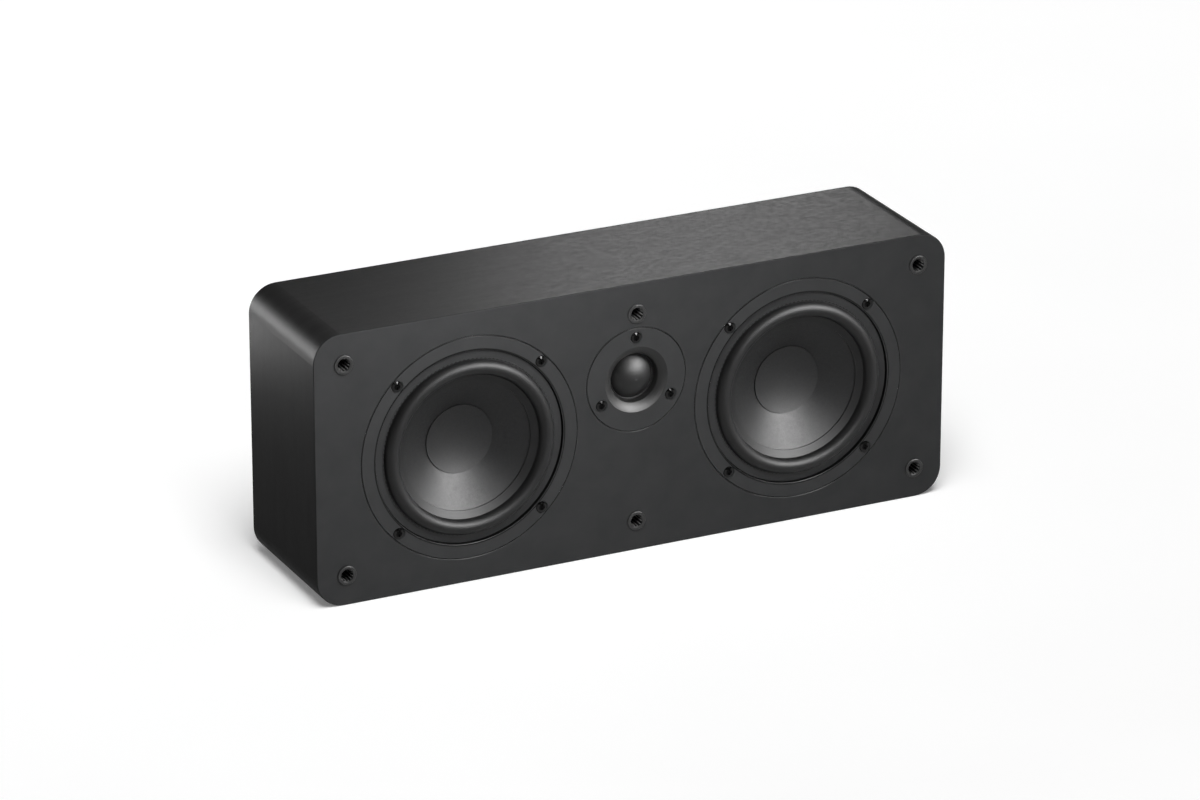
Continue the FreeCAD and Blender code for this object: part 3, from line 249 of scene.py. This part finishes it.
def make_basket_finish():
    """The frame's grey, with a painted shade line round the inner edge of the flange: a black ring on the flat
    face for the shade of the gap by the step.
    """
    tree = Nodes("basket_grey")
    colour = tree.shader.inputs["Base Color"]
    surface(tree, tree.shader, *GREY, (0.40, 0.46), PAINT_PATCH, PAINT_GRAIN, 0.012 * MM)
    set_shader(tree.shader, level=0.07)
    # distance from the nearer woofer's axis
    x, z = WOOFERS["right"]
    place = tree.split(tree.coordinates.outputs["Object"])
    across = tree.math("SUBTRACT", tree.math("ABSOLUTE", place["X"]), x)
    up = tree.math("SUBTRACT", place["Z"], z)
    squares = tree.math("ADD", tree.math("MULTIPLY", across, across), tree.math("MULTIPLY", up, up))
    radius = tree.math("SQRT", squares)
    mix = tree.add("ShaderNodeMix", data_type="RGBA")
    line, grey = (socket for socket in mix.inputs if socket.type == "RGBA")
    (mixed,) = (socket for socket in mix.outputs if socket.type == "RGBA")
    # painted shade: black for the gap's shade, on the flat face between these radii
    line.default_value = (0.002, 0.002, 0.002, 1)
    tree.link(colour.links[0].from_socket, grey)
    tree.link(tree.span(radius, 0.0, 1.0, *STEP_SHADE_LINE), mix.inputs["Factor"])
    tree.link(mixed, colour)
    return tree.material


# Radians per metre of a wave texture whose scale is 1
WAVE_PHASE = 20


def woven(name, dark, light, rough, threads, depth, sheen=0.0, level=0.4):
    """A plain weave as seen along the driver's axis, with its phase in radians per metre."""
    tree = Nodes(name)
    across = tree.add("ShaderNodeTexWave", bands_direction="X", wave_profile="SIN")
    along = tree.add("ShaderNodeTexWave", bands_direction="Z", wave_profile="SIN")
    for wave in (across, along):
        wave.inputs["Scale"].default_value = threads / WAVE_PHASE
        wave.inputs["Distortion"].default_value = 0.6
        tree.link(tree.coordinates.outputs["Object"], wave.inputs["Vector"])
    weave = tree.math("MULTIPLY", across.outputs["Fac"], along.outputs["Fac"])
    wander = tree.noise((90.0,) * 3, detail=3.0)
    tree.link(tree.ramp(wander, dark, light), tree.shader.inputs["Base Color"])
    tree.link(tree.span(wander, *rough), tree.shader.inputs["Roughness"])
    tree.bump(weave, depth)
    set_shader(tree.shader, sheen=sheen, level=level)
    return tree.material


def make_cone_finish():
    """Pressed fibre: a fine felt of short fibres with a satin face."""
    tree = Nodes("cone_fibre")
    fibre = tree.noise((560.0,) * 3, detail=6.0, rough=0.75, distortion=1.2)
    colour = tree.ramp(fibre, (0.0015, 0.0015, 0.0016), (0.0085, 0.0085, 0.0088))
    tree.link(colour, tree.shader.inputs["Base Color"])
    tree.link(tree.span(fibre, 0.55, 0.36), tree.shader.inputs["Roughness"])
    tree.bump(fibre, 0.04 * MM)
    set_shader(tree.shader, level=0.20)
    return tree.material


def wound(name, dark, light, turns, axis):
    """Wound or braided wire: bands along an axis, with their phase in radians per metre."""
    tree = Nodes(name)
    wave = tree.add("ShaderNodeTexWave", bands_direction=axis, wave_profile="SIN")
    wave.inputs["Scale"].default_value = turns / WAVE_PHASE
    wave.inputs["Distortion"].default_value = 0.2
    tree.link(tree.coordinates.outputs["Object"], wave.inputs["Vector"])
    tree.link(tree.ramp(wave.outputs["Fac"], dark, light, 0.1, 0.9), tree.shader.inputs["Base Color"])
    tree.link(tree.span(wave.outputs["Fac"], 0.45, 0.28, 0.0, 1.0), tree.shader.inputs["Roughness"])
    tree.bump(wave.outputs["Fac"], 0.15 * MM)
    set_shader(tree.shader, metallic=1.0)
    return tree.material


def make_board_finish():
    """Green lacquer over fine traces."""
    tree = Nodes("board_green")
    cells = tree.add("ShaderNodeTexVoronoi", distance="MANHATTAN", feature="F1")
    cells.inputs["Scale"].default_value = 120.0
    tree.link(tree.coordinates.outputs["Object"], cells.inputs["Vector"])
    trace = cells.outputs["Distance"]
    tree.link(
        tree.ramp(trace, (0.060, 0.230, 0.090), (0.030, 0.130, 0.050), 0.42, 0.48),
        tree.shader.inputs["Base Color"])
    tree.link(tree.span(trace, 0.30, 0.42), tree.shader.inputs["Roughness"])
    tree.bump(trace, 0.03 * MM)
    set_shader(tree.shader, coat=0.3)
    return tree.material


LOOKS = {
    "foil_black": make_foil(),
    "baffle_grey": make_baffle_finish(),
    "panel_black": plain("panel_black", (0.020,) * 3, (0.027,) * 3, (0.60, 0.72), patch=30.0, grain=900.0,
                         depth=0.04 * MM, level=0.3),
    "frame_grey": plain("frame_grey", *GREY, (0.40, 0.46), patch=70.0, grain=2600.0, depth=0.012 * MM,
                        level=0.07),
    # painted shade: near-black satin bevels for the dark line of shade in the gap round each flange, with real
    # gloss for the edge glints
    "edge_black": plain("edge_black", (0.010,) * 3, (0.014,) * 3, (0.20, 0.26), patch=70.0, grain=2600.0,
                        depth=0.002 * MM, level=0.26),
    "edge_grey": plain("edge_grey", *GREY, (0.20, 0.26), patch=70.0, grain=2600.0, depth=0.002 * MM,
                       level=0.26),
    "basket_grey": make_basket_finish(),
    "surround_rubber": plain("surround_rubber", (0.0045,) * 3, (0.0070, 0.0070, 0.0072), (0.42, 0.48), patch=90.0,
                             grain=1800.0, depth=0.008 * MM, level=0.16),
    "cone_fibre": make_cone_finish(),
    "dome_cloth": woven("dome_cloth", (0.0045,) * 3, (0.0070,) * 3, (0.40, 0.46), 3200.0, 0.012 * MM,
                        level=0.21),
    "spider_cloth": woven("spider_cloth", (0.42, 0.29, 0.10), (0.60, 0.44, 0.18), (0.75, 0.9), 1400.0, 0.1 * MM),
    "tinsel_braid": wound("tinsel_braid", (0.30, 0.24, 0.16), (0.75, 0.62, 0.45), 2200.0, "X"),
    "coil_copper": wound("coil_copper", (0.35, 0.13, 0.05), (0.80, 0.38, 0.18), 1400.0, "Y"),
    "plate_steel": brushed("plate_steel", (0.42, 0.43, 0.44), (0.58, 0.59, 0.60), (0.28, 0.42),
                           (300.0, 2000.0, 300.0), metallic=1.0),
    "magnet_ferrite": plain("magnet_ferrite", (0.045, 0.045, 0.048), (0.075, 0.075, 0.080), (0.55, 0.75),
                            patch=120.0, grain=1500.0, depth=0.05 * MM, level=0.35),
    "neodymium_plated": plain("neodymium_plated", (0.55, 0.55, 0.57), (0.66, 0.66, 0.68), (0.12, 0.22),
                              metallic=1.0),
    "terminal_board": plain("terminal_board", (0.18, 0.10, 0.045), (0.28, 0.17, 0.08), (0.45, 0.6), patch=160.0),
    "gasket_foam": plain("gasket_foam", (0.022,) * 3, (0.040,) * 3, (0.8, 0.95), grain=1600.0, depth=0.12 * MM,
                         level=0.2),
    "socket_black": plain("socket_black", (0.0175,) * 3, (0.0230,) * 3, (0.28, 0.34), depth=0.01 * MM, level=0.28),
    # painted shade: the socket bores are painted darker than the socket, for the shade inside the holes
    "bore_black": plain("bore_black", (0.0030,) * 3, (0.0050,) * 3, (0.40, 0.50), depth=0.01 * MM, level=0.05),
    # the bowl's near black is partly painted shade for the hollow, and its gloss is real
    "bowl_black": plain("bowl_black", (0.0040,) * 3, (0.0060,) * 3, (0.41, 0.46), patch=90.0, grain=2600.0,
                        depth=0.004 * MM, level=0.26),
    # painted highlight: the ribs are lighter than the black socket, for the light lines that their edges catch
    "rib_grey": plain("rib_grey", (0.120,) * 3, (0.150,) * 3, (0.28, 0.36), depth=0.01 * MM, level=0.40),
    "screw_black": plain("screw_black", (0.0010,) * 3, (0.0020,) * 3, (0.07, 0.10), patch=400.0, grain=3000.0,
                         depth=0.003 * MM, level=0.05),
    "screw_shine": plain("screw_shine", (0.0010,) * 3, (0.0020,) * 3, (0.07, 0.10), patch=400.0, grain=3000.0,
                         depth=0.003 * MM, level=0.22),
    "wadding_white": plain("wadding_white", (0.62, 0.61, 0.58), (0.80, 0.79, 0.76), (0.85, 1.0), patch=70.0,
                           grain=500.0, depth=0.8 * MM, sheen=0.5),
    "cup_black": plain("cup_black", (0.014,) * 3, (0.019,) * 3, (0.42, 0.52), patch=60.0, grain=1800.0,
                       depth=0.02 * MM),
    "post_metal": brushed("post_metal", (0.62, 0.45, 0.17), (0.84, 0.66, 0.32), (0.16, 0.28),
                          (400.0, 3000.0, 400.0), metallic=1.0),
    "cap_red": plain("cap_red", (0.42, 0.010, 0.010), (0.55, 0.020, 0.018), (0.18, 0.28), patch=200.0, coat=0.3),
    "cap_black": plain("cap_black", (0.010,) * 3, (0.016,) * 3, (0.18, 0.28), patch=200.0, coat=0.3),
    "hanger_steel": plain("hanger_steel", (0.022,) * 3, (0.034,) * 3, (0.34, 0.46), patch=90.0, grain=1600.0,
                          depth=0.015 * MM, coat=0.2),
    "bumper_rubber": plain("bumper_rubber", (0.014,) * 3, (0.022,) * 3, (0.62, 0.75), patch=180.0, level=0.3),
    "board_green": make_board_finish(),
    "standoff_nylon": plain("standoff_nylon", (0.58, 0.57, 0.52), (0.70, 0.69, 0.64), (0.4, 0.5), patch=180.0),
    "capacitor_film": plain("capacitor_film", (0.50, 0.28, 0.06), (0.62, 0.38, 0.10), (0.25, 0.35), patch=140.0),
    "resistor_ceramic": plain("resistor_ceramic", (0.62, 0.61, 0.57), (0.76, 0.75, 0.71), (0.7, 0.85), patch=200.0,
                              depth=0.05 * MM),
    "wire_jacket": plain("wire_jacket", (0.020,) * 3, (0.032,) * 3, (0.4, 0.5), patch=140.0),
}


def dress(obj, slot):
    """Give a piece one finish over its whole surface."""
    obj.data.materials.clear()
    obj.data.materials.append(LOOKS[slot])
    for polygon in obj.data.polygons:
        polygon.material_index = 0


for part in frame["record"]["subparts"]:
    dress(nodes[part["node"]], part["material_slot"])


# Pieces that flex: copies of their solids, which stand in for the originals, now hidden
def flexing(node, centre):
    piece = bpy.data.objects.new(node + "_flex", nodes[node].data.copy())
    bpy.context.scene.collection.objects.link(piece)
    centre = np.array((centre[0], 0.0, centre[1]))
    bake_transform(piece)
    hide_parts(node)
    return piece


# Ranges of slope, as the share of a face's normal that points to the front, and a ring that takes in all
BEVELS = (0.3, 0.9)
ROUND_HEADS = (0.3, 0.975)
ANYWHERE = (0.0, 1.0)


def paint_rings(piece, slot, centre, *rings, slopes=None):
    """One more finish between pairs of radii, on all faces there or on those of some slopes alone."""
    piece.data.materials.append(LOOKS[slot])
    index = len(piece.data.materials) - 1
    for polygon in piece.data.polygons:
        middle = polygon.center
        radius = math.hypot(middle.x - centre[0], middle.z - centre[1])
        if slopes and not slopes[0] < -polygon.normal.y < slopes[1]:
            continue
        if any(inner < radius < outer for inner, outer in rings):
            polygon.material_index = index


for side, centre in WOOFERS.items():
    woofer = "woofer_" + side
    surround = flexing(woofer + "_surround", centre)
    # the ring between the roll and the step is painted like the frame
    paint_rings(surround, "frame_grey", centre, (LIP_START, FLANGE_EDGE[1]))
    basket = nodes[woofer + "_basket"]
    dress(basket, "basket_grey")
    paint_rings(basket, "edge_grey", centre, STEP_EDGE, slopes=BEVELS)
    # the outer bevel is painted near black, as painted shade of the gap between flange and baffle
    paint_rings(basket, "edge_black", centre, FLANGE_EDGE, slopes=BEVELS)
    paint_rings(nodes["front_baffle"], "edge_grey", centre, FLANGE_SEAT, slopes=BEVELS)
    flexing(woofer + "_spider", centre)
    flexing(woofer + "_tinsel_leads", centre)
flexing("tweeter_diaphragm", TWEETER)
# the flange is textured, and the bowl is smooth and painted much darker: a glossier finish, and painted shade for
# its hollow
paint_rings(nodes["tweeter_faceplate"], "bowl_black", TWEETER, (0.0, BOWL_EDGE))
# the outer bevel is painted near black, as painted shade of the gap between flange and baffle
paint_rings(nodes["tweeter_faceplate"], "edge_black", TWEETER, TWEETER_EDGE, slopes=BEVELS)
paint_rings(nodes["front_baffle"], "edge_grey", TWEETER, TWEETER_SEAT, slopes=BEVELS)
# the round of each screw's head is shinier than its recess
paint_rings(nodes["driver_screws"], "screw_shine", TWEETER, ANYWHERE, slopes=ROUND_HEADS)


# Ribs that grip the grille's pegs
RIB_COUNT = 12
RIB_HEIGHT = 0.55 * MM
RIB_WIDTH = 0.6 * MM
RIB_TOP = FRONT_Y - 0.4 * MM
RIB_BOTTOM = FRONT_Y + 8.9 * MM
BORE = 3.8 * MM


def make_ribs(name, x, z):
    vertices, faces = [], []
    half = RIB_WIDTH / 2
    section = [(-half, 0.05 * MM), (-half * 0.55, -RIB_HEIGHT), (half * 0.55, -RIB_HEIGHT), (half, 0.05 * MM)]
    for step in range(RIB_COUNT):
        turn = math.tau * (step + 0.5) / RIB_COUNT
        out = Vector((math.cos(turn), 0, math.sin(turn)))
        side = Vector((-out.z, 0, out.x))
        first = len(vertices)
        for y, height in ((RIB_TOP, 0.15), (RIB_TOP + 0.9 * MM, 1.0), (RIB_BOTTOM, 1.0)):
            for across, rise in section:
                point = out * (BORE + (rise * height if rise < 0 else rise)) + side * across
                vertices.append((x + point.x, y, z + point.z))
        for ring in range(2):
            for corner in range(4):
                a = first + ring * 4 + corner
                b = first + ring * 4 + (corner + 1) % 4
                faces.append((a, b, b + 4, a + 4))
        faces.append(tuple(first + corner for corner in (3, 2, 1, 0)))
        faces.append(tuple(first + 8 + corner for corner in range(4)))
    mesh = bpy.data.meshes.new(name)
    mesh.from_pydata(vertices, [], faces)
    mesh.update()
    piece = bpy.data.objects.new(name, mesh)
    bpy.context.scene.collection.objects.link(piece)
    # the ribs are painted lighter than the socket, as painted highlight on their edges
    dress(piece, "rib_grey")
    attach(piece, "cabinet")


for name, x, z in SOCKETS:
    make_ribs("socket_ribs_" + name, x, z)
    # the bore walls are painted darker, as painted shade inside each hole
    paint_rings(nodes["grille_socket_" + name], "bore_black", (x, z), (0.0, BORE))


# Wadding behind the woofers: crowned, lumpy pads that lie flat on the rear panel
WADDING_STEPS = 48
WADDING_CORNER = 12 * MM
WADDING_EDGE = 9 * MM
WADDING_PULL = 0.035


def make_wadding():
    low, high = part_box("damping_wadding")
    half = np.array((high.x - WOOFERS["right"][0], (high.z - low.z) / 2))
    steps = np.linspace(-1, 1, WADDING_STEPS)
    across, up = (grid.ravel() for grid in np.meshgrid(steps, steps))
    flat = np.stack((across, up), 1) * half
    border = (half - np.abs(flat)).min(1)
    # round corners, and sides that pull in between them
    over = np.maximum(np.abs(flat) - (half - WADDING_CORNER), 0)
    length = np.maximum(np.hypot(over[:, 0], over[:, 1]), 1e-9)
    flat -= np.sign(flat) * over * (1 - over.max(1) / length)[:, None]
    flat[:, 0] *= 1 - WADDING_PULL * (1 - up * up)
    flat[:, 1] *= 1 - WADDING_PULL * (1 - across * across)
    edge = np.sqrt(1 - (1 - np.minimum(border / WADDING_EDGE, 1)) ** 2)
    crown = 0.66 + 0.20 * (1 - across * across) * (1 - up * up)
    vertices, faces = [], []
    for turn, (x, z) in enumerate(WOOFERS.values()):
        first = len(vertices)
        lumps = np.sin(7.1 * across + 3 * up + turn) * np.sin(6.3 * up - 2 * across + 2 * turn)
        lumps = 0.08 * lumps + 0.05 * np.sin(15 * across - 9 * up) * np.sin(13 * up + 5 * across + turn)
        depth = (high.y - low.y) * edge * (crown + lumps)
        vertices += [(x + a, high.y - d, z + b) for (a, b), d in zip(flat.tolist(), depth.tolist())]
        for row in range(WADDING_STEPS - 1):
            for column in range(WADDING_STEPS - 1):
                a = first + row * WADDING_STEPS + column
                faces.append((a, a + 1, a + 1 + WADDING_STEPS, a + WADDING_STEPS))
        side = range(WADDING_STEPS - 1)
        last = WADDING_STEPS - 1
        loop = [(0, i) for i in side] + [(i, last) for i in side]
        loop += [(last, last - i) for i in side] + [(last - i, 0) for i in side]
        faces.append(tuple(first + row * WADDING_STEPS + column for row, column in reversed(loop)))
    mesh = bpy.data.meshes.new("wadding_pads")
    mesh.from_pydata(vertices, [], faces)
    mesh.update()
    piece = bpy.data.objects.new("wadding_pads", mesh)
    bpy.context.scene.collection.objects.link(piece)
    dress(piece, "wadding_white")
    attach(piece, "cabinet")
    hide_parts("damping_wadding")


make_wadding()


# Smooth shading with crisp edges on every solid
EDGE_ANGLE = math.radians(25)
for obj in bpy.data.objects:
    if obj.type == "MESH":
        obj.data.shade_smooth()
        obj.data.set_sharp_from_angle(angle=EDGE_ANGLE)


# Stage
FLOOR_HALF = 7.0
FLOOR_LIFT = (0.12, 0.36)
FLOOR_LIFT_REACH = (-0.4, 1.0)


def make_floor():
    mesh = bpy.data.meshes.new("floor")
    corners = [(x * FLOOR_HALF, y * FLOOR_HALF, 0) for x, y in ((-1, -1), (1, -1), (1, 1), (-1, 1))]
    mesh.from_pydata(corners, [], [(0, 1, 2, 3)])
    floor = bpy.data.objects.new("floor", mesh)
    bpy.context.scene.collection.objects.link(floor)
    tree = Nodes("floor_white")
    shader = tree.shader
    tree.link(tree.ramp(tree.noise((3.0,) * 3), (0.87,) * 3, (0.89,) * 3), shader.inputs["Base Color"])
    shader.inputs["Roughness"].default_value = 0.9
    shader.inputs["Specular IOR Level"].default_value = 0.0
    shader.inputs["Emission Color"].default_value = (1, 1, 1, 1)
    # white to the camera, and to metal and glass as well, with a little more lift where the lamp falls off
    rays = tree.add("ShaderNodeLightPath").outputs
    seen = tree.math("MAXIMUM", rays["Is Camera Ray"], rays["Is Glossy Ray"])
    seen = tree.math("MAXIMUM", seen, rays["Is Transmission Ray"])
    place = tree.split(tree.coordinates.outputs["Object"])
    lift = tree.span(place["Y"], *FLOOR_LIFT, *FLOOR_LIFT_REACH)
    tree.link(tree.math("MULTIPLY", seen, lift), shader.inputs["Emission Strength"])
    mesh.materials.append(tree.material)
    return floor


floor = make_floor()


def make_world():
    """A pale horizon that fades to a dark ceiling."""
    world = bpy.data.worlds.new("studio")
    bpy.context.scene.world = world
    world.use_nodes = True
    tree = world.node_tree
    coordinates = tree.nodes.new("ShaderNodeTexCoord")
    split = tree.nodes.new("ShaderNodeSeparateXYZ")
    ramp = tree.nodes.new("ShaderNodeValToRGB")
    tree.links.new(coordinates.outputs["Generated"], split.inputs["Vector"])
    tree.links.new(split.outputs["Z"], ramp.inputs["Fac"])
    tree.links.new(ramp.outputs["Color"], tree.nodes["Background"].inputs["Color"])
    low, high = ramp.color_ramp.elements
    low.position, low.color = 0.02, (1, 1, 1, 1)
    high.position, high.color = 0.10, (0.01, 0.01, 0.01, 1)
    ramp.color_ramp.interpolation = "EASE"


make_world()


def make_lamp(name, place, aim, size, radiance, kind):
    """A soft rectangular lamp turned towards a point: a fill lights, and a card shows in glossy surfaces."""
    lamp = bpy.data.lights.new(name, "AREA")
    lamp.shape = "RECTANGLE"
    lamp.size, lamp.size_y = size
    lamp.energy = radiance * size[0] * size[1] * math.pi
    obj = bpy.data.objects.new(name, lamp)
    obj.location = place
    obj.rotation_euler = (Vector(aim) - Vector(place)).to_track_quat("-Z", "Y").to_euler()
    obj.visible_camera = False
    obj.visible_diffuse = kind == "fill"
    obj.visible_glossy = kind == "card"
    bpy.context.scene.collection.objects.link(obj)
    return obj


MIDDLE = (0.0, 0.0, 0.09)
TOP = (0.05, 0.0, 0.16)
CORNER = (-0.20, 0.0, 0.12)
overhead = make_lamp("overhead", (0.0, 1.6, 2.4), (0.0, 0.6, 0.0), (4.0, 4.0), 1.3, "fill")
floor_light = make_lamp("floor_light", (-0.8, -2.5, 6.0), (0.0, 0.0, 0.0), (3.5, 4.5), 9.5, "fill")
near_front = make_lamp("near_front", (-0.14, -0.25, 0.40), (-0.05, -0.047, 0.12), (0.2, 0.2), 15.0, "fill")
make_lamp("front_right", (1.217, -1.558, 1.054), MIDDLE, (1.8, 0.9), 31.5, "card")
make_lamp("front", (-0.17, -2.03, 0.914), MIDDLE, (0.8, 0.8), 5.5, "card")
make_lamp("high_right", (0.770, -1.186, 1.775), MIDDLE, (0.9, 0.9), 7.5, "card")
foil_cards = [
    make_lamp("back_right", (0.57, 0.96, 0.61), TOP, (0.34, 0.35), 31.0, "card"),
    make_lamp("back", (-0.05, 0.96, 0.72), TOP, (1.0, 0.45), 2.4, "card"),
    make_lamp("left_back", (-0.60, 0.95, 0.17), CORNER, (0.5, 0.32), 98.0, "card"),
    make_lamp("left_low", (-0.50, 0.69, 0.004), (-0.50, 0.69, 1.0), (0.7, 0.7), 18.5, "card"),
]


def light_only(lamps, name, pieces):
    """Keep lamps to some pieces."""
    collection = bpy.data.collections.new(name)
    for piece in pieces:
        collection.objects.link(piece)
    for lamp in lamps:
        lamp.light_linking.receiver_collection = collection


# The floor has a lamp of its own, the part's two fills are kept off it, and the cards behind the part are for
# the foil
light_only([floor_light], "stage_pieces", [floor])
light_only([overhead, near_front], "part_pieces", [
    obj for obj in bpy.data.objects if obj.type == "MESH" and obj != floor
])
light_only(foil_cards, "foil_pieces", [nodes["cabinet_sleeve"], nodes["front_baffle"]])


# Camera, solved from the photograph's edges
camera = bpy.data.objects.new("camera", bpy.data.cameras.new("camera"))
camera.data.lens = 184.34
camera.data.sensor_width = 36.0
camera.location = (-1.48325, -3.04205, 1.42582)
camera.rotation_euler = (math.radians(68.29), 0.0, math.radians(-25.981))
bpy.context.scene.collection.objects.link(camera)
bpy.context.scene.camera = camera
bpy.context.scene.view_settings.view_transform = "Standard"
